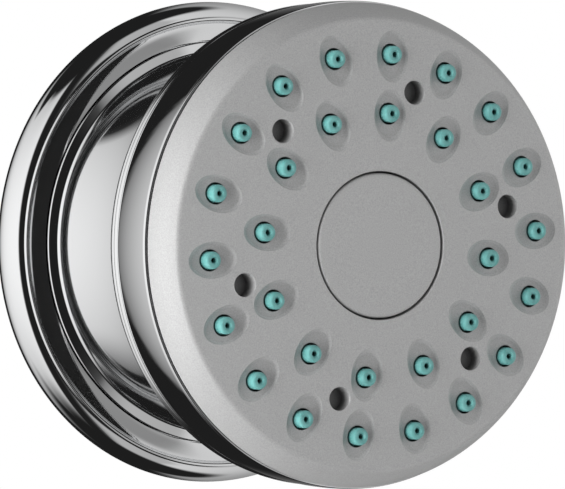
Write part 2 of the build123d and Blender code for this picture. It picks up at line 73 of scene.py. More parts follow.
# Spray face
projection = front_of("centre_cap")
face_radius = radius_of("face_plate")
face_dome_radius = 265.0
shoulder_width = 2.45
shoulder_depth = 4.75
shoulder_crown_height = 0.36
shoulder_edge_radius = 1.2
shoulder_edge_margin = 1.0
plate_thickness = 4.0
plate_wall = 1.6

# Nozzles, dimples and recesses
outer_ring_inset = 7.9
ring_spacing = 9.1
outer_ring_radius = face_radius - outer_ring_inset
inner_ring_radius = outer_ring_radius - ring_spacing
nozzle_rings = ((outer_ring_radius, 18), (inner_ring_radius, 12))
nozzle_phase = 83.5
nozzle_radius = 1.35
nozzle_hole_radius = 1.65
nozzle_hole_bevel = 0.08
nozzle_rise = 0.95
nozzle_land = 1.5
nose_radius = 0.5
orifice_radius = 0.4
orifice_dish = 0.25
orifice_edge_radius = 0.08
orifice_depth = 1.0
tip_edge_radius = 0.1
feed_radius = 0.85
dimple_depth = 0.46
dimple_half_length = 4.0
dimple_shift = 0.3
dimple_half_width = 2.8
dimple_fullness = 6
# Painted shade on the dimple floors, inside a share of the dimple's reach.
dimple_painted_shade = 0.13
dimple_painted_shade_reach = 0.88
patch_scale = 1.1
recess_inset = 5.0
recess_ring_radius = outer_ring_radius - recess_inset
recess_count = 6
recess_phase = 73.4
recess_radius = 1.8
recess_depth = 2.7
recess_edge = 0.12
# Painted shade, darkening each recess's wall towards its floor, and the floor itself.
recess_painted_shade = 0.6

# Middle of the face and the mat behind it
cap_radius = radius_of("centre_cap")
cap_gap = 0.3
cap_bore_radius = cap_radius + cap_gap
cap_bore_edge = 0.1
cap_edge_radius = 0.55
cap_edge_margin = 1.5
cap_thickness = 1.4
cap_skirt = 1.4
cap_back_at = back_of("centre_cap")
well_wall = 1.6
well_radius = cap_bore_radius + well_wall
well_depth = 5.1
well_floor = 1.7
screw_hole_radius = 2.1
mat_radius = radius_of("nozzle_mat")
mat_back_at = back_of("nozzle_mat")
mat_margin = 0.4

# Head shell
rim_step = 0.25
rim_radius = face_radius + rim_step
rim_edge_radius = 0.4
face_seam = 0.7
side_taper = 5.7
side_crown_height = 0.4
head_depth = 21.45
back_edge_radius = 3.0
back_bead_radius = 0.5
back_bead_angle = 63.0
back_bead_setback = 3.2
back_bead_spacing = 0.95
shell_wall = 1.6
rim_ledge = 1.2
rim_inner_radius = radius_of("diffuser_plate") - rim_ledge
rim_depth = 2.2
groove_wall = 0.7
groove_width = 1.7
ring_section = 1.5
ball_setback = 5.6
hub_radius = 15.0
hub_wall = 2.0
hub_roof = 3.0
socket_radius = 13.0
hub_overlap = 1.5
waterway_radius = 4.4
seal_section = 2.4
seal_mean_radius = 6.7
seal_pocket_radius = 8.1
joint_clearance = 0.25
dome_wall = 1.6
dome_end_angle = 114.0

# Wall flange and sleeve
flange_radius = radius_of("wall_flange")
flange_edge_radius = 3.34
flange_foot_inset = 1.55
ridge_inset = 2.35
ridge_step = 0.15
bead_radius = 0.45
bead_sink = 0.1
cove_radius = 11.1
cove_width = 3.6
gasket_thickness = front_of("flange_gasket")
gasket_clearance = 0.2
gasket_recess_radius = radius_of("flange_gasket") + gasket_clearance
web_thickness = 2.1
web_hole_radius = 12.7
spigot_height = 6.4
spigot_wall = 2.1
spigot_groove_depth = 1.2
spigot_groove_half = 1.0
spigot_groove_at = 7.6
sleeve_foot_radius = radius_of("sleeve")
sleeve_mouth_at = front_of("sleeve")
sleeve_seat_at = back_of("sleeve")
sleeve_flare = 2.2
sleeve_belly_step = -1.52
sleeve_mouth_step = -2.0
sleeve_wall = 1.3
sleeve_cove_height = 3.0
foot_rise = 0.3
foot_edge_radius = 0.35
foot_slope = 22.0
foot_fillet = 0.8
sleeve_lip_edge = 0.7
sleeve_lip_length = 1.4
sleeve_lip_width = 2.23
joint_gap = 0.2
mouth_gap = 0.5

# Ball nipple
ball_radius = 11.0
neck_radius = 7.0
neck_length = 4.9
inlet_bore_radius = 9.2
inlet_relief = 0.4
inlet_radius = 12.4
inlet_floor = 1.6
inlet_washer_thickness = 1.8
hexagon_across_flats = 25.0
collar_radius = 18.5
collar_back_at = 4.6
collar_thickness = 1.8
thread_pitch = 1.814
thread_depth = 0.7
thread_runout = 1.2

# Fineness of the meshes
TURN_STEPS = 256
NOZZLE_STEPS = 48
RECESS_STEPS = 64
NIPPLE_STEPS = 96

# Values that follow
plate_back_at = projection - plate_thickness
shoulder_radius = face_radius - shoulder_width
back_at = projection - head_depth
ball_at = back_at - ball_setback
sleeve_base_radius = sleeve_foot_radius - sleeve_flare
mouth_bore_radius = sleeve_base_radius + sleeve_mouth_step - sleeve_lip_width
dome_radius = hypot(mouth_bore_radius - mouth_gap, ball_at - sleeve_mouth_at)
bullnose_radius = flange_radius - flange_edge_radius
flange_foot_radius = flange_radius - flange_foot_inset
bullnose_at = sqrt(flange_edge_radius**2 - (flange_foot_radius - bullnose_radius) ** 2)
ridge_radius = flange_radius - ridge_inset
ridge_at = bullnose_at + sqrt(flange_edge_radius**2 - (ridge_radius - bullnose_radius) ** 2)


def dome_at(radius):
    """Distance from the wall of the domed face at a radius."""
    return projection - face_dome_radius + sqrt(face_dome_radius**2 - radius**2)


face_edge_at = dome_at(shoulder_radius) - shoulder_depth
rim_at = face_edge_at - face_seam
well_floor_at = dome_at(cap_bore_radius) - well_depth


def spread(start, end, steps):
    """Evenly spaced values from start to end, both included."""
    return [start + (end - start) * k / steps for k in range(steps + 1)]


def arc(centre, radius, start, end, steps=16):
    """Profile points on a circle. Angles are in degrees from the radius direction towards the spray."""
    turns = [radians(angle) for angle in spread(start, end, steps)]
    return [(centre[0] + radius * cos(turn), centre[1] + radius * sin(turn)) for turn in turns]


def arc_between(centre, first, last, steps=16):
    """Profile arc about a centre from one point to another, the short way round."""
    radius = hypot(first[0] - centre[0], first[1] - centre[1])
    start = degrees(atan2(first[1] - centre[1], first[0] - centre[0]))
    end = degrees(atan2(last[1] - centre[1], last[0] - centre[0]))
    turn = (end - start + 180) % 360 - 180
    return arc(centre, radius, start, start + turn, steps)


def bulge_centre(first, last, height):
    """Centre of the arc that rises by a height to the left of the line between two profile points."""
    chord = Vector((last[0] - first[0], last[1] - first[1]))
    radius = chord.length**2 / (8 * height) + height / 2
    side = Vector((-chord.y, chord.x)).normalized()
    return (Vector(first) + chord / 2 + side * (height - radius)).to_tuple()


def rounded(points, steps=8):
    """Profile through (radius, distance, corner radius) points, with each inner corner rounded."""
    made = [points[0][:2]]
    for before, here, after in zip(points, points[1:], points[2:]):
        corner, size = Vector(here[:2]), here[2]
        if size == 0:
            made.append(here[:2])
            continue
        to_before = (Vector(before[:2]) - corner).normalized()
        to_after = (Vector(after[:2]) - corner).normalized()
        half = to_before.angle(to_after) / 2
        centre = corner + (to_before + to_after).normalized() * size / sin(half)
        first = corner + to_before * size / tan(half)
        last = corner + to_after * size / tan(half)
        made += arc_between(centre, first, last, steps)
    return made + [points[-1][:2]]


class Shell:
    """Points and faces of one piece. The painted shade of a point makes its colour darker, from 0 to 1,
    standing in for shadow.
    """

    def __init__(self):
        self.points = []
        self.faces = []
        self.painted_shades = {}

    def point(self, x, distance, z):
        """Adds a point and returns its number."""
        self.points.append((x * MM, -distance * MM, z * MM))
        return len(self.points) - 1

    def ring(self, radius, distance, steps, centre=(0, 0)):
        """Points around an axis along the spray. The radius may be a function of the angle."""
        if radius == 0:
            return [self.point(centre[0], distance, centre[1])]
        made = []
        for k in range(steps):
            angle = 2 * pi * k / steps
            size = radius(angle) if callable(radius) else radius
            made.append(self.point(centre[0] + size * cos(angle), distance, centre[1] + size * sin(angle)))
        return made

    def band(self, first, second):
        """Faces between two rings, of which either may be a single point."""
        for k in range(max(len(first), len(second))):
            corners = (
                first[k % len(first)],
                first[(k + 1) % len(first)],
                second[(k + 1) % len(second)],
                second[k % len(second)],
            )
            corners = tuple(dict.fromkeys(corners))
            if len(corners) > 2:
                self.faces.append(corners)

    def skin(self, rings):
        """Faces over a row of rings."""
        for first, second in zip(rings, rings[1:]):
            self.band(first, second)

    def turn(self, profile, steps, centre=(0, 0)):
        """Rings along a profile, with the faces between them."""
        rings = [self.ring(radius, distance, steps, centre) for radius, distance in profile]
        self.skin(rings)
        return rings

    def turn_closed(self, profile, steps):
        """A ring-shaped solid with a closed section."""
        rings = self.turn(profile, steps)
        self.band(rings[-1], rings[0])

    def fill(self, loops, loose, covers):
        """Triangles between closed loops of points and loose points, wherever covers() says so."""
        numbers = [i for loop in loops for i in loop] + loose
        flat = [Vector((self.points[i][0], self.points[i][2])) / MM for i in numbers]
        edges = []
        for loop in loops:
            start = len(edges)
            edges += [(start + k, start + (k + 1) % len(loop)) for k in range(len(loop))]
        places, _, triangles, sources, _, _ = delaunay_2d_cdt(flat, edges, [], 0, 1e-6)
        for triangle in triangles:
            middle = sum((places[v] for v in triangle), Vector((0, 0))) / 3
            if covers(middle.x, middle.y):
                self.faces.append(tuple(numbers[sources[v][0]] for v in triangle))

    def build(self, name, body, slot, sharp_angle=30):
        """Makes the piece, which replaces the CAD node of the same name, on a body and in a material slot."""
        mesh = bpy.data.meshes.new(name)
        mesh.from_pydata(self.points, [], self.faces)
        work = bmesh.new()
        work.from_mesh(mesh)
        bmesh.ops.recalc_face_normals(work, faces=work.faces)
        work.to_mesh(mesh)
        work.free()
        mesh.shade_smooth()
        mesh.set_sharp_from_angle(angle=radians(sharp_angle))
        # Painted shade: a darkening per point where shadow falls, read by the material.
        if self.painted_shades:
            shade = mesh.attributes.new("shade", "FLOAT", "POINT")
            shade.data.foreach_set("value", [self.painted_shades.get(i, 0.0) for i in range(len(self.points))])
        mesh.materials.append(materials[slot])
        piece = bpy.data.objects.new("visual_" + name, mesh)
        bpy.context.scene.collection.objects.link(piece)
        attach(piece, body)
        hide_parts(name)
        return piece


def new_material(name):
    """A node material with its shader, and a maker of nodes fed by object coordinates."""
    made = bpy.data.materials.new(name)
    made.use_nodes = True
    tree = made.node_tree
    shader = tree.nodes["Principled BSDF"]
    place = tree.nodes.new("ShaderNodeTexCoord").outputs["Object"]

    def texture(kind, **values):
        node = tree.nodes.new(kind)
        tree.links.new(place, node.inputs["Vector"])
        for key, value in values.items():
            node.inputs[key].default_value = value
        return node

    return made, tree, shader, texture


def vary_colour(tree, shader, source, low, high, contrast=(0.3, 0.7)):
    """Base colour that runs between two colours with a texture."""
    ramp = tree.nodes.new("ShaderNodeValToRGB")
    ramp.color_ramp.elements[0].position, ramp.color_ramp.elements[1].position = contrast
    ramp.color_ramp.elements[0].color = (*low, 1)
    ramp.color_ramp.elements[1].color = (*high, 1)
    tree.links.new(source, ramp.inputs["Fac"])
    tree.links.new(ramp.outputs["Color"], shader.inputs["Base Color"])


def darken_by_painted_shade(tree, shader, dark):
    """Paints shade into the colour: takes the base colour towards a dark one by the points' painted shade."""
    shade = tree.nodes.new("ShaderNodeAttribute")
    shade.attribute_name = "shade"
    mix = tree.nodes.new("ShaderNodeMixRGB")
    mix.inputs["Color2"].default_value = (*dark, 1)
    tree.links.new(shade.outputs["Fac"], mix.inputs["Fac"])
    tree.links.new(shader.inputs["Base Color"].links[0].from_socket, mix.inputs["Color1"])
    tree.links.new(mix.outputs["Color"], shader.inputs["Base Color"])


def vary_roughness(tree, shader, source, low, high):
    """Roughness that runs between two values with a texture."""
    span = tree.nodes.new("ShaderNodeMapRange")
    span.inputs["From Min"].default_value = 0.3
    span.inputs["From Max"].default_value = 0.7
    span.inputs["To Min"].default_value = low
    span.inputs["To Max"].default_value = high
    tree.links.new(source, span.inputs["Value"])
    tree.links.new(span.outputs["Result"], shader.inputs["Roughness"])


def add_bump(tree, shader, source, strength, depth):
    """Fine relief from a texture. The depth is in millimetres."""
    bump = tree.nodes.new("ShaderNodeBump")
    bump.inputs["Strength"].default_value = strength
    bump.inputs["Distance"].default_value = depth * MM
    tree.links.new(source, bump.inputs["Height"])
    tree.links.new(bump.outputs["Normal"], shader.inputs["Normal"])


def chrome():
    """Polished chrome plate with a faint haze."""
    made, tree, shader, texture = new_material("chrome")
    shader.inputs["Base Color"].default_value = (0.88, 0.885, 0.89, 1)
    shader.inputs["Metallic"].default_value = 1.0
    haze = texture("ShaderNodeTexNoise", Scale=300.0, Detail=3.0)
    vary_roughness(tree, shader, haze.outputs["Fac"], 0.03, 0.06)
    return made


def grey_plastic():
    """Satin silver-grey plastic with a fine speckle."""
    made, tree, shader, texture = new_material("grey_plastic")
    shader.inputs["Metallic"].default_value = 0.35
    speckle = texture("ShaderNodeTexNoise", Scale=5200.0, Detail=2.0)
    vary_colour(tree, shader, speckle.outputs["Fac"], (0.29, 0.29, 0.29), (0.37, 0.37, 0.37))
    # Painted shade: darkens the colour towards near black in the hole walls, recesses and dimple floors.
    darken_by_painted_shade(tree, shader, (0.03, 0.03, 0.03))
    vary_roughness(tree, shader, speckle.outputs["Fac"], 0.40, 0.48)
    grain = texture("ShaderNodeTexNoise", Scale=7000.0, Detail=1.0)
    add_bump(tree, shader, grain.outputs["Fac"], 0.12, 0.02)
    return made


def teal_silicone():
    """Soft satin silicone with slight clouding."""
    made, tree, shader, texture = new_material("teal_silicone")
    cloud = texture("ShaderNodeTexNoise", Scale=900.0, Detail=3.0)
    vary_colour(tree, shader, cloud.outputs["Fac"], (0.075, 0.22, 0.21), (0.11, 0.29, 0.28))
    vary_roughness(tree, shader, cloud.outputs["Fac"], 0.36, 0.46)
    shader.inputs["Subsurface Weight"].default_value = 0.15
    shader.inputs["Subsurface Radius"].default_value = (0.3, 1.0, 0.9)
    shader.inputs["Subsurface Scale"].default_value = 0.0004
    grain = texture("ShaderNodeTexNoise", Scale=5000.0, Detail=1.0)
    add_bump(tree, shader, grain.outputs["Fac"], 0.1, 0.02)
    return made


def turned_metal(name, low, high, roughness):
    """Bare metal with fine lathe marks around the spray axis."""
    made, tree, shader, texture = new_material(name)
    shader.inputs["Metallic"].default_value = 1.0
    tarnish = texture("ShaderNodeTexNoise", Scale=180.0, Detail=4.0)
    vary_colour(tree, shader, tarnish.outputs["Fac"], low, high)
    marks = texture("ShaderNodeTexWave", Scale=700.0, Distortion=1.5)
    marks.wave_type = "RINGS"
    marks.rings_direction = "Y"
    vary_roughness(tree, shader, marks.outputs["Fac"], *roughness)
    add_bump(tree, shader, marks.outputs["Fac"], 0.08, 0.02)
    return made


def black_rubber():
    """Moulded rubber with a dusty bloom."""
    made, tree, shader, texture = new_material("black_rubber")
    bloom = texture("ShaderNodeTexNoise", Scale=240.0, Detail=5.0)
    vary_colour(tree, shader, bloom.outputs["Fac"], (0.018, 0.018, 0.019), (0.040, 0.040, 0.042))
    vary_roughness(tree, shader, bloom.outputs["Fac"], 0.5, 0.7)
    grain = texture("ShaderNodeTexNoise", Scale=3000.0, Detail=2.0)
    add_bump(tree, shader, grain.outputs["Fac"], 0.2, 0.03)
    return made


def white_plastic():
    """Natural acetal with faint clouding."""
    made, tree, shader, texture = new_material("white_plastic")
    cloud = texture("ShaderNodeTexNoise", Scale=150.0, Detail=3.0)
    vary_colour(tree, shader, cloud.outputs["Fac"], (0.74, 0.73, 0.68), (0.82, 0.81, 0.77))
    vary_roughness(tree, shader, cloud.outputs["Fac"], 0.34, 0.44)
    shader.inputs["Subsurface Weight"].default_value = 0.1
    shader.inputs["Subsurface Scale"].default_value = 0.001
    return made


materials = {
    "chrome": chrome(),
    "grey_plastic": grey_plastic(),
    "teal_silicone": teal_silicone(),
    "brass": turned_metal("brass", (0.70, 0.50, 0.22), (0.80, 0.60, 0.30), (0.22, 0.34)),
    "black_rubber": black_rubber(),
    "white_plastic": white_plastic(),
    "steel": turned_metal("steel", (0.52, 0.51, 0.50), (0.62, 0.61, 0.60), (0.24, 0.36)),
}
for subpart in frame["record"]["subparts"]:
    node = frame["nodes"][subpart["node"]]
    node.data.materials.clear()
    node.data.materials.append(materials[subpart["material_slot"]])


def wall_flange():
    """Bullnose rim, coved face, web and grooved spigot."""
    cove_start = (ridge_radius - ridge_step, ridge_at - ridge_step)
    cove_end = (ridge_radius - cove_width, cove_at(ridge_radius - cove_width))
    web_at = gasket_thickness + web_thickness
    spigot_radius = sleeve_foot_radius - sleeve_flare - sleeve_wall - 3 * joint_gap
    groove_radius = spigot_radius - spigot_groove_depth
    shell = Shell()
    shell.turn_closed(
        arc_between((bullnose_radius, bullnose_at), (flange_foot_radius, 0), (ridge_radius, ridge_at), 32)
        + arc((ridge_radius - bead_radius, ridge_at - bead_sink), bead_radius, 15, 165, 12)
        + arc_between((cove_start[0], cove_start[1] + cove_radius), cove_start, cove_end, 16)[4:]
        + [
            (cove_end[0], sleeve_seat_at),
            (spigot_radius, sleeve_seat_at),
            (spigot_radius, spigot_groove_at - spigot_groove_half),
            (groove_radius, spigot_groove_at - spigot_groove_half),
            (groove_radius, spigot_groove_at + spigot_groove_half),
            (spigot_radius, spigot_groove_at + spigot_groove_half),
            (spigot_radius, web_at + spigot_height),
            (spigot_radius - spigot_wall, web_at + spigot_height),
            (spigot_radius - spigot_wall, web_at),
            (web_hole_radius, web_at),
            (web_hole_radius, gasket_thickness),
            (gasket_recess_radius, gasket_thickness),
            (gasket_recess_radius, 0),
        ],
        TURN_STEPS,
    )
    return shell.build("wall_flange", "fixed", "chrome")


def cove_at(radius):
    """Distance from the wall of the flange's coved face at a radius."""
    start = ridge_radius - ridge_step
    return ridge_at - ridge_step + cove_radius - sqrt(cove_radius**2 - (start - radius) ** 2)


def sleeve():
    """Barrel with a coved foot and a turned-in mouth."""
    foot = (sleeve_foot_radius, cove_at(sleeve_foot_radius + joint_gap))
    base = (sleeve_base_radius, foot[1] + sleeve_cove_height)
    mouth = (base[0] + sleeve_mouth_step, sleeve_mouth_at)
    belly = (base[0] + sleeve_belly_step, (base[1] + mouth[1]) / 2)
    rise = belly[0] - (base[0] + mouth[0]) / 2
    barrel_centre = bulge_centre(mouth, base, rise)
    outward = Vector(base) - Vector(barrel_centre)
    flare = outward.y / outward.x
    brim = (foot[0], foot[1] + foot_rise)
    climb = tan(radians(foot_slope))
    corner_at = (brim[1] + (brim[0] - base[0]) * climb - base[1] * flare * climb) / (1 - flare * climb)
    corner = (base[0] + (base[1] - corner_at) * flare, corner_at)
    barrel = arc_between(barrel_centre, base, mouth, 40)
    skirt = rounded(
        [
            foot,
            (*brim, foot_edge_radius),
            (*corner, foot_fillet),
            (*barrel[0], 0),
        ],
        10,
    )
    bore_radius = base[0] - sleeve_wall
    lip = rounded(
        [
            (*barrel[-3], 0),
            (*mouth, sleeve_lip_edge),
            (mouth_bore_radius, sleeve_mouth_at, sleeve_lip_edge / 2),
            (mouth_bore_radius, spigot_groove_at + 3 * sleeve_lip_length, 0),
            (bore_radius, spigot_groove_at + 2 * sleeve_lip_length, 0),
            (bore_radius, sleeve_seat_at, 0),
            (sleeve_foot_radius, sleeve_seat_at, 0),
        ]
    )
    shell = Shell()
    shell.turn_closed(skirt[:-1] + barrel[:-3] + lip, TURN_STEPS)
    return shell.build("sleeve", "fixed", "chrome")


def head_shell():
    """Rim, side, rounded back, dome and hub."""
    side_back_radius = rim_radius - (rim_at - back_at) * tan(radians(side_taper))
    side_centre = Vector(bulge_centre((rim_radius, rim_at), (side_back_radius, back_at), side_crown_height))
    side_bend = (Vector((rim_radius, rim_at)) - side_centre).length
    fillet_at = back_at + back_edge_radius
    fillet_reach = sqrt((side_bend - back_edge_radius) ** 2 - (fillet_at - side_centre.y) ** 2)
    fillet_centre = Vector((side_centre.x + fillet_reach, fillet_at))
    side_start = side_centre + (fillet_centre - side_centre).normalized() * side_bend
    cavity_radius = side_back_radius - shell_wall
    groove_outer_radius = rim_radius - groove_wall
    groove_at = face_edge_at - ring_section
    centre = (0, ball_at)
    dome_inner_radius = dome_radius - dome_wall
    seal_distance = ball_radius + seal_section / 2 + joint_clearance
    pocket_at = ball_at + sqrt(seal_distance**2 - seal_mean_radius**2) + seal_section / 2
    roof_at = pocket_at + hub_roof - hub_wall
    dome_end = 90 - dome_end_angle
    dome_top = degrees(asin((back_at - ball_at) / dome_radius))
    inner_top = degrees(asin((back_at - ball_at) / dome_inner_radius))
    pocket_angle = 90 - degrees(asin(seal_pocket_radius / socket_radius))
    outside = arc(centre, dome_radius, dome_end, dome_top, 24)
    outside += arc_between(fillet_centre, (fillet_centre.x, back_at), side_start, 20)[:-1]
    side = arc_between(side_centre, side_start, (rim_radius, rim_at), 24)
    back_bead_sink = back_bead_radius * cos(radians(back_bead_angle))
    for bead in range(2):
        bead_at = back_at + back_bead_setback + back_bead_spacing * bead
        bead_reach = side_centre.x + sqrt(side_bend**2 - (bead_at - side_centre.y) ** 2) - back_bead_sink
        outside += arc((bead_reach, bead_at), back_bead_radius, -back_bead_angle, back_bead_angle, 12)
    outside += [spot for spot in side[:-2] if spot[1] > outside[-1][1]]
    outside += rounded([(*side[-2], 0), (*side[-1], rim_edge_radius), (groove_outer_radius, rim_at, 0)])
    inside = [
        (groove_outer_radius, groove_at),
        (groove_outer_radius - groove_width, groove_at),
        (groove_outer_radius - groove_width, rim_at),
        (rim_inner_radius, rim_at),
        (rim_inner_radius, rim_at - rim_depth),
        (cavity_radius, rim_at - rim_depth - (cavity_radius - rim_inner_radius)),
        (cavity_radius, back_at + shell_wall),
        (hub_radius, back_at + shell_wall),
        (hub_radius, roof_at),
        (waterway_radius, roof_at),
        (waterway_radius, pocket_at),
        (seal_pocket_radius, pocket_at),
    ]
    inside += arc(centre, socket_radius, pocket_angle, 0, 12)
    inside += [
        (socket_radius, ball_at - hub_overlap),
        (hub_radius, ball_at - hub_overlap),
        (hub_radius, back_at),
    ]
    inside += arc(centre, dome_inner_radius, inner_top, dome_end, 24)
    shell = Shell()
    shell.turn_closed(outside + inside, TURN_STEPS)
    return shell.build("head_shell", "head", "chrome")


def centre_cap():
    """Shallow cup that follows the dome, with a rounded edge."""
    crown = [(radius, dome_at(radius)) for radius in spread(0, cap_radius - cap_edge_margin, 12)]
    edge = rounded(
        [
            (*crown[-1], 0),
            (cap_radius, dome_at(cap_radius), cap_edge_radius),
            (cap_radius, cap_back_at, 0),
            (cap_radius - cap_skirt, cap_back_at, 0),
            (cap_radius - cap_skirt, projection - cap_thickness, 0),
            (0, projection - cap_thickness, 0),
        ]
    )
    shell = Shell()
    shell.turn(crown + edge[1:], TURN_STEPS)
    return shell.build("centre_cap", "head", "grey_plastic")


def nozzle_sites():
    """Ring radius and angle of every nozzle."""
    for ring_radius, count in nozzle_rings:
        for k in range(count):
            yield ring_radius, radians(nozzle_phase + 360 * k / count)


def recess_centres():
    """Middle of every blind recess in the face."""
    for k in range(recess_count):
        angle = radians(recess_phase + 360 * k / recess_count)
        yield recess_ring_radius * cos(angle), recess_ring_radius * sin(angle)


def nozzle_distance(x, z):
    """Distance from a place on the face to the middle of the nearest nozzle."""
    return min(hypot(x - r * cos(a), z - r * sin(a)) for r, a in nozzle_sites())


def dimple_reach(along, across):
    """Place in the dimple around a nozzle, from 0 in its middle to 1 at its rim."""
    return hypot((along + dimple_shift) / dimple_half_length, across / dimple_half_width)


def scooped_at(x, z, along, across):
    """Distance from the wall of the face around one nozzle, where a flat-bottomed dimple meets the dome."""
    return dome_at(hypot(x, z)) - dimple_depth * max(1 - dimple_reach(along, across) ** dimple_fullness, 0)


def skirt_radius(distance):
    """Inner radius of the face plate's skirt at a distance from the wall."""
    slope = hypot(shoulder_width, shoulder_depth)
    lean = (distance - face_edge_at) * shoulder_width / shoulder_depth
    return face_radius - plate_wall * slope / shoulder_depth - lean


def dimple_rings(shell, ring_radius, angle):
    """Rings of one dimple, from the hole's back to an ellipse just outside the scoop."""
    centre = (ring_radius * cos(angle), ring_radius * sin(angle))
    mouth_radius = nozzle_hole_radius + nozzle_hole_bevel

    def place(along, across):
        x = centre[0] + along * cos(angle) - across * sin(angle)
        z = centre[1] + along * sin(angle) + across * cos(angle)
        return x, z, scooped_at(x, z, along, across)

    def oval(share, shrink=1.0, sink=0.0):
        made = []
        for k in range(NOZZLE_STEPS):
            turn = 2 * pi * k / NOZZLE_STEPS
            half_length = mouth_radius + (dimple_half_length * patch_scale - mouth_radius) * share
            half_width = mouth_radius + (dimple_half_width * patch_scale - mouth_radius) * share
            along = cos(turn) * half_length * shrink - dimple_shift * share
            across = sin(turn) * half_width * shrink
            x, z, distance = place(along, across)
            made.append(shell.point(x, distance - sink, z))
            # Painted shade: full at the hole's sunk edge, lighter on the dimple floor within the reach.
            if sink > 0:
                shell.painted_shades[made[-1]] = 1.0
            elif dimple_reach(along, across) < dimple_painted_shade_reach:
                shell.painted_shades[made[-1]] = dimple_painted_shade
        return made

    shrink = nozzle_hole_radius / mouth_radius
    back = []
    for k in range(NOZZLE_STEPS):
        turn = angle + 2 * pi * k / NOZZLE_STEPS
        x = centre[0] + nozzle_hole_radius * cos(turn)
        back.append(shell.point(x, plate_back_at, centre[1] + nozzle_hole_radius * sin(turn)))
        # Painted shade: the hole's walls are darkened fully.
        shell.painted_shades[back[-1]] = 1.0
    shares = spread(0, 0.7, 8) + spread(0.7, 1, 12)[1:]
    return [back, oval(0, shrink, nozzle_hole_bevel * 0.6)] + [oval(share) for share in shares]


def face_plate():
    """Domed disc with scooped dimples, nozzle holes, blind recesses, a shoulder and a well for the cap."""
    shell = Shell()
    loops, back_loops = [], []
    for ring_radius, angle in nozzle_sites():
        rings = dimple_rings(shell, ring_radius, angle)
        shell.skin(rings)
        loops.append(rings[-1])
        back_loops.append(rings[0])
    floor_at = dome_at(recess_ring_radius) - recess_depth
    for x, z in recess_centres():
        mouth = []
        for turn in spread(0, 2 * pi, RECESS_STEPS)[:-1]:
            edge_x = x + (recess_radius + recess_edge) * cos(turn)
            edge_z = z + (recess_radius + recess_edge) * sin(turn)
            mouth.append(shell.point(edge_x, dome_at(hypot(edge_x, edge_z)), edge_z))
        wall_at = dome_at(recess_ring_radius) - recess_edge
        wall = [(recess_radius, wall_at), (recess_radius, floor_at), (0, floor_at)]
        walls = shell.turn(wall, RECESS_STEPS, (x, z))
        shell.band(mouth, walls[0])
        # Painted shade: the recess darkens down its wall to the floor.
        shell.painted_shades.update((i, recess_painted_shade) for ring in walls[1:] for i in ring)
        loops.append(mouth)

    top_radius = shoulder_radius - shoulder_edge_margin
    shoulder_top = (shoulder_radius, dome_at(shoulder_radius))
    shoulder_foot = (face_radius, face_edge_at)
    shoulder_centre = bulge_centre(shoulder_top, shoulder_foot, shoulder_crown_height)
    shoulder = arc_between(shoulder_centre, shoulder_top, shoulder_foot, 16)
    profile = rounded(
        [
            (top_radius, dome_at(top_radius), 0),
            (*shoulder[0], shoulder_edge_radius),
            (*shoulder[4], 0),
        ],
        10,
    )
    profile += shoulder[5:]
    profile += [(skirt_radius(face_edge_at), face_edge_at), (skirt_radius(plate_back_at), plate_back_at)]
    outer = shell.turn(profile, TURN_STEPS)
    boss_at = well_floor_at - well_floor
    well = shell.turn(
        [
            (well_radius, plate_back_at),
            (well_radius, boss_at),
            (screw_hole_radius, boss_at),
            (screw_hole_radius, well_floor_at),
            (cap_bore_radius, well_floor_at),
            (cap_bore_radius, dome_at(cap_bore_radius) - cap_bore_edge),
            (cap_bore_radius + cap_bore_edge, dome_at(cap_bore_radius + cap_bore_edge)),
        ],
        TURN_STEPS,
    )

    def in_dimple(x, z, scale):
        for ring_radius, angle in nozzle_sites():
            along = x * cos(angle) + z * sin(angle) - ring_radius
            across = z * cos(angle) - x * sin(angle)
            if dimple_reach(along, across) < scale:
                return True
        return False

    def near_recess(x, z, radius):
        return any(hypot(x - cx, z - cz) < radius for cx, cz in recess_centres())

    def on_dome(x, z):
        inside = hypot(x, z) < cap_bore_radius + cap_bore_edge
        return not (inside or in_dimple(x, z, patch_scale) or near_recess(x, z, recess_radius + recess_edge))

    loose = []
    spacing = 1.2
    margin = 0.7
    edge_margin = 0.5
    dimple_margin = 1.15
    reach = int(top_radius / spacing) + 1
    for row in range(-reach, reach + 1):
        for column in range(-reach, reach + 1):
            x = (column + row % 2 / 2) * spacing
            z = row * spacing * sqrt(0.75)
            between = cap_bore_radius + margin < hypot(x, z) < top_radius - edge_margin
            beside = in_dimple(x, z, patch_scale * dimple_margin) or near_recess(x, z, recess_radius + margin)
            if between and not beside:
                loose.append(shell.point(x, dome_at(hypot(x, z)), z))
    shell.fill([outer[0], well[-1]] + loops, loose, on_dome)

    def on_back(x, z):
        beside_holes = nozzle_distance(x, z) > nozzle_hole_radius * cos(pi / NOZZLE_STEPS)
        return beside_holes and hypot(x, z) > well_radius * cos(pi / TURN_STEPS)

    shell.fill([outer[-1], well[0]] + back_loops, [], on_back)
    return shell.build("face_plate", "head", "grey_plastic")


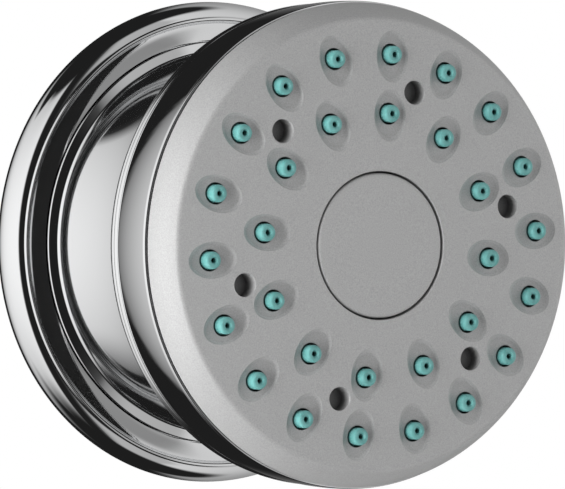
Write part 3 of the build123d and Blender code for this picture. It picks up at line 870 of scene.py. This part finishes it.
def nozzle_mat():
    """Sheet with every nozzle moulded on it."""
    shell = Shell()
    feet, feeds = [], []
    for ring_radius, angle in nozzle_sites():
        tip_at = dome_at(ring_radius) + nozzle_rise
        profile = [(nozzle_radius, plate_back_at)]
        profile += rounded(
            [
                (nozzle_radius, tip_at - nozzle_land, 0),
                (nozzle_radius, tip_at, nose_radius),
                (orifice_radius + orifice_dish, tip_at, tip_edge_radius),
                (orifice_radius, tip_at - orifice_dish, orifice_edge_radius),
                (orifice_radius, tip_at - orifice_depth, 0),
                (feed_radius, tip_at - orifice_depth, 0),
                (feed_radius, mat_back_at, 0),
            ]
        )
        rings = shell.turn(profile, NOZZLE_STEPS, (ring_radius * cos(angle), ring_radius * sin(angle)))
        feet.append(rings[0])
        feeds.append(rings[-1])
    inner_radius = well_radius + mat_margin
    edge = shell.turn([(mat_radius, plate_back_at), (mat_radius, mat_back_at)], TURN_STEPS)
    hole = shell.turn([(inner_radius, plate_back_at), (inner_radius, mat_back_at)], TURN_STEPS)

    def clear_of(radius):
        def covers(x, z):
            outside_hole = hypot(x, z) > inner_radius * cos(pi / TURN_STEPS)
            return outside_hole and nozzle_distance(x, z) > radius * cos(pi / NOZZLE_STEPS)

        return covers

    shell.fill([edge[0], hole[0]] + feet, [], clear_of(nozzle_radius))
    shell.fill([edge[1], hole[1]] + feeds, [], clear_of(feed_radius))
    return shell.build("nozzle_mat", "head", "teal_silicone", 40)


def ball_nipple():
    """Threaded inlet, collar, hexagon, neck and bored ball."""
    shoulder_at = ball_at - sqrt(ball_radius**2 - neck_radius**2) - neck_length
    bore_depth = shoulder_at - inlet_floor
    thread_end = bore_depth - inlet_washer_thickness
    collar_at = collar_back_at + collar_thickness
    relief_radius = inlet_bore_radius + inlet_relief
    ball_start = 90 - degrees(asin(waterway_radius / ball_radius))
    ball_end = -acos(neck_radius / ball_radius)

    def hexagon(angle):
        return hexagon_across_flats / 2 / cos((angle + pi / 6) % (pi / 3) - pi / 6)

    def threaded(distance):
        fade = min(1, distance / thread_runout, (thread_end - distance) / thread_runout)

        def size(angle):
            phase = (distance / thread_pitch + angle / (2 * pi)) % 1
            return inlet_bore_radius + thread_depth * max(fade, 0) * (1 - abs(2 * phase - 1))

        return size

    outline = arc((0, ball_at), ball_radius, ball_start, degrees(ball_end), 32)
    outline += [
        (neck_radius, shoulder_at),
        (hexagon, shoulder_at),
        (hexagon, collar_at),
        (collar_radius, collar_at),
        (collar_radius, collar_back_at),
        (inlet_radius, collar_back_at),
        (inlet_radius, 0),
    ]
    outline += [(threaded(distance), distance) for distance in spread(0, thread_end, 72)]
    outline += [
        (relief_radius, thread_end),
        (relief_radius, bore_depth),
        (waterway_radius, bore_depth),
    ]
    shell = Shell()
    shell.turn_closed(outline, NIPPLE_STEPS)
    return shell.build("ball_nipple", "fixed", "brass")


wall_flange()
sleeve()
head_shell()
centre_cap()
face_plate()
nozzle_mat()
ball_nipple()

# Camera at the photograph's viewing angle
camera_turn = radians(31.26)
camera_rise = radians(1.03)
camera_roll = radians(0.46)
camera_distance = 1553.8
camera_lens = 646.6
aim_right = -14.76
aim_up = 0.15
level_toward = Vector((-sin(camera_turn), -cos(camera_turn), 0))
toward_camera = level_toward * cos(camera_rise) + Vector((0, 0, sin(camera_rise)))
level_right = Vector((cos(camera_turn), -sin(camera_turn), 0))
level_up = toward_camera.cross(level_right)
camera_right = level_right * cos(camera_roll) - level_up * sin(camera_roll)
camera_up = level_right * sin(camera_roll) + level_up * cos(camera_roll)
aim_from_wall = 53.4
face_centre = Vector((0, -aim_from_wall, 0))
lens = bpy.data.cameras.new("photo_camera")
lens.sensor_width = 36
lens.lens = camera_lens
camera = bpy.data.objects.new("photo_camera", lens)
bpy.context.scene.collection.objects.link(camera)
camera_place = face_centre + camera_right * aim_right + camera_up * aim_up + toward_camera * camera_distance
camera_axes = Matrix((camera_right, camera_up, toward_camera)).transposed()
camera.matrix_world = Matrix.Translation(camera_place * MM) @ camera_axes.to_4x4()
bpy.context.scene.camera = camera


def step(value, edge, softness):
    """Smooth rise from 0 to 1 around an edge."""
    share = min(max((value - edge) / softness + 0.5, 0), 1)
    return share * share * (3 - 2 * share)


def studio_level(azimuth, elevation):
    """Brightness around the object. Azimuth is in degrees from the left side towards the spray direction."""
    panel_back = -73 - 5 * (elevation / 30) ** 2
    panel_front = 53
    inward = step(azimuth, -25, 30)
    panel_top = 42 + 13 * inward
    panel_bottom = -46 - 12 * inward
    panel = 1.02 - 0.84 * exp(-max(azimuth - panel_back, 0) / 23)
    panel *= 1 - 0.3 * (elevation / 45) ** 2
    panel_mask = step(azimuth, panel_back, 2) * step(-azimuth, -panel_front, 8)
    panel_mask *= step(-elevation, -panel_top, 5) * step(elevation, panel_bottom, 24)
    room_turn = (azimuth - 88 + 45 * step(abs(elevation), 68, 14)) % 360
    wedge = step(abs(elevation), 13, 8) * (1 - 0.4 * step(abs(elevation), 32, 8))
    wedge *= step(-abs(azimuth - 98), -20, 6)
    room = (0.78 - 0.46 * min(room_turn / 140, 1)) * (1 - 0.62 * wedge)
    room_mask = step(room_turn, 0, 20) * step(-room_turn, -150, 16) + step(room_turn, 360, 20)
    room_mask *= step(-abs(elevation), -60, 8)
    dark = 0.014
    level = dark + (room - dark) * room_mask
    return level + (panel - level) * panel_mask


def show_in_reflections_only(card):
    """Stage object that glossy rays alone see."""
    card.visible_camera = False
    card.visible_diffuse = False
    card.visible_shadow = False
    card.visible_transmission = False


def studio_shell():
    """Sphere of softbox, black frame and grey walls that only reflections see."""
    shell_radius = 1.4
    rows, columns = 90, 180
    points, levels, faces = [], [], []
    for row in range(rows + 1):
        elevation = 180 * row / rows - 90
        for column in range(columns):
            azimuth = 360 * column / columns - 180
            turn, rise = radians(azimuth), radians(elevation)
            points.append(Vector((-cos(turn) * cos(rise), -sin(turn) * cos(rise), sin(rise))) * shell_radius)
            levels.append(studio_level(azimuth, elevation))
    for row in range(rows):
        for column in range(columns):
            after = (column + 1) % columns
            low, high = row * columns, (row + 1) * columns
            faces.append((low + column, low + after, high + after, high + column))
    mesh = bpy.data.meshes.new("studio_shell")
    mesh.from_pydata(points, [], faces)
    attribute = mesh.attributes.new("level", "FLOAT", "POINT")
    attribute.data.foreach_set("value", levels)
    made = bpy.data.materials.new("studio_shell")
    made.use_nodes = True
    tree = made.node_tree
    tree.nodes.clear()
    glow = tree.nodes.new("ShaderNodeEmission")
    level = tree.nodes.new("ShaderNodeAttribute")
    level.attribute_name = "level"
    output = tree.nodes.new("ShaderNodeOutputMaterial")
    tree.links.new(level.outputs["Fac"], glow.inputs["Strength"])
    tree.links.new(glow.outputs["Emission"], output.inputs["Surface"])
    mesh.materials.append(made)
    shell = bpy.data.objects.new("studio_shell", mesh)
    bpy.context.scene.collection.objects.link(shell)
    show_in_reflections_only(shell)


def flag():
    """Dark card behind the head that only reflections see, and only on the side towards the wall."""
    card_gap = 0.8
    inner_margin = 1
    outer_margin = 2
    card_at = back_at - card_gap
    inner_radius = dome_radius + inner_margin
    outer_radius = rim_radius - outer_margin
    rims = [
        [(r * cos(a) * MM, -card_at * MM, r * sin(a) * MM) for a in spread(0, 2 * pi, 96)[:-1]]
        for r in (inner_radius, outer_radius)
    ]
    count = len(rims[0])
    faces = [(k, (k + 1) % count, count + (k + 1) % count, count + k) for k in range(count)]
    mesh = bpy.data.meshes.new("flag")
    mesh.from_pydata(rims[0] + rims[1], [], faces)
    made = bpy.data.materials.new("flag")
    made.use_nodes = True
    tree = made.node_tree
    shader = tree.nodes["Principled BSDF"]
    shader.inputs["Base Color"].default_value = (0.02, 0.02, 0.02, 1)
    shader.inputs["Roughness"].default_value = 0.9
    side = tree.nodes.new("ShaderNodeNewGeometry")
    clear = tree.nodes.new("ShaderNodeBsdfTransparent")
    mix = tree.nodes.new("ShaderNodeMixShader")
    tree.links.new(side.outputs["Backfacing"], mix.inputs["Fac"])
    tree.links.new(shader.outputs["BSDF"], mix.inputs[1])
    tree.links.new(clear.outputs["BSDF"], mix.inputs[2])
    tree.links.new(mix.outputs["Shader"], tree.nodes["Material Output"].inputs["Surface"])
    mesh.materials.append(made)
    card = bpy.data.objects.new("flag", mesh)
    bpy.context.scene.collection.objects.link(card)
    show_in_reflections_only(card)


def floor():
    """Pale floor below the object."""
    floor_drop = 0.8
    floor_radius = 1.2
    mesh = bpy.data.meshes.new("floor")
    rim = [(floor_radius * cos(a), floor_radius * sin(a), -floor_drop) for a in spread(0, 2 * pi, 96)[:-1]]
    mesh.from_pydata(rim, [], [tuple(range(len(rim)))])
    made, tree, shader, texture = new_material("floor")
    mottle = texture("ShaderNodeTexNoise", Scale=6.0, Detail=2.0)
    vary_colour(tree, shader, mottle.outputs["Fac"], (0.84, 0.84, 0.84), (0.86, 0.86, 0.86))
    shader.inputs["Roughness"].default_value = 0.9
    mesh.materials.append(made)
    plane = bpy.data.objects.new("floor", mesh)
    bpy.context.scene.collection.objects.link(plane)
    plane.visible_glossy = False


def lamp(name, place, size, power, height=None):
    """Soft lamp that faces the object, square unless it has a height of its own."""
    light = bpy.data.lights.new(name, "AREA")
    light.shape = "RECTANGLE"
    light.size = size
    light.size_y = height or size
    light.energy = power
    made = bpy.data.objects.new(name, light)
    bpy.context.scene.collection.objects.link(made)
    made.location = place
    aim = Vector((0, -projection / 2 * MM, 0)) - made.location
    made.rotation_euler = aim.to_track_quat("-Z", "Y").to_euler()
    made.visible_glossy = False


def world_light():
    """White background for what is seen directly and in gloss, and plain soft light for the rest."""
    world = bpy.data.worlds.new("studio")
    bpy.context.scene.world = world
    world.use_nodes = True
    tree = world.node_tree
    tree.nodes.clear()
    path = tree.nodes.new("ShaderNodeLightPath")
    seen = tree.nodes.new("ShaderNodeMath")
    seen.operation = "MAXIMUM"
    seen_all = tree.nodes.new("ShaderNodeMath")
    seen_all.operation = "MAXIMUM"
    tree.links.new(path.outputs["Is Camera Ray"], seen.inputs[0])
    tree.links.new(path.outputs["Is Glossy Ray"], seen.inputs[1])
    tree.links.new(seen.outputs["Value"], seen_all.inputs[0])
    tree.links.new(path.outputs["Is Transmission Ray"], seen_all.inputs[1])
    plain = tree.nodes.new("ShaderNodeBackground")
    plain.inputs["Strength"].default_value = 0.44
    white = tree.nodes.new("ShaderNodeBackground")
    white.inputs["Color"].default_value = (1, 1, 1, 1)
    plain.inputs["Color"].default_value = (1, 1, 1, 1)
    mix = tree.nodes.new("ShaderNodeMixShader")
    output = tree.nodes.new("ShaderNodeOutputWorld")
    tree.links.new(seen_all.outputs["Value"], mix.inputs["Fac"])
    tree.links.new(plain.outputs["Background"], mix.inputs[1])
    tree.links.new(white.outputs["Background"], mix.inputs[2])
    tree.links.new(mix.outputs["Shader"], output.inputs["Surface"])


studio_shell()
flag()
floor()
lamp("key_left", (-1.1, -0.2, -0.1), 0.8, 43, 1.8)
lamp("fill_front", (0.5, -1.2, 0.2), 0.9, 2)
lamp("fill_right", (1.0, -0.3, 0.1), 0.8, 8)
world_light()
bpy.context.scene.view_settings.view_transform = "Standard"
